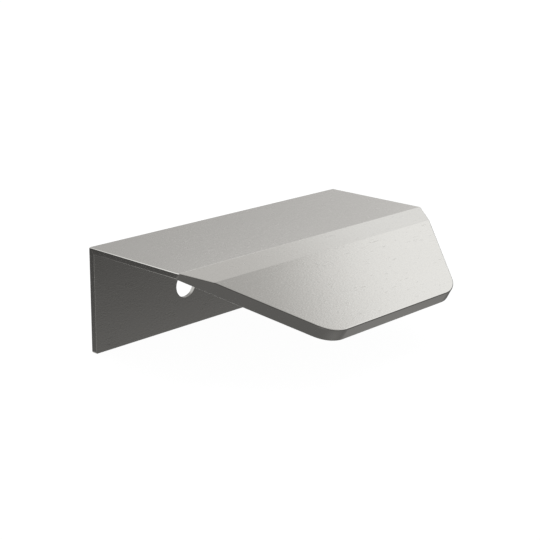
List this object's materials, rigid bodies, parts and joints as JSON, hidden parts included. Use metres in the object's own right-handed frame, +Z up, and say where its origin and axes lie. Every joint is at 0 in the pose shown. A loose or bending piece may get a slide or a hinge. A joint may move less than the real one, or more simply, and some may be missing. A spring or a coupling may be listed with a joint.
{
  "type": "edge pull handle",
  "caption": "Brushed metal edge pull: a screw flange sits behind the panel, a thin plate covers its edge and a tapered lip slopes down in front for the fingers.",
  "frame": {"origin": "midway between the centres of the screw holes, on the flange face that bears on the back of the panel", "axes": "+X along the panel's edge, -Y towards the front where the lip is, +Z up"},
  "size_m": [0.06, 0.0391, 0.0177],
  "materials": {
    "brushed_metal": "fine hairline brushing along the length, stainless-steel look"
  },
  "bodies": {
    "root": {"handle": "brushed_metal"}
  },
  "joints": []
}
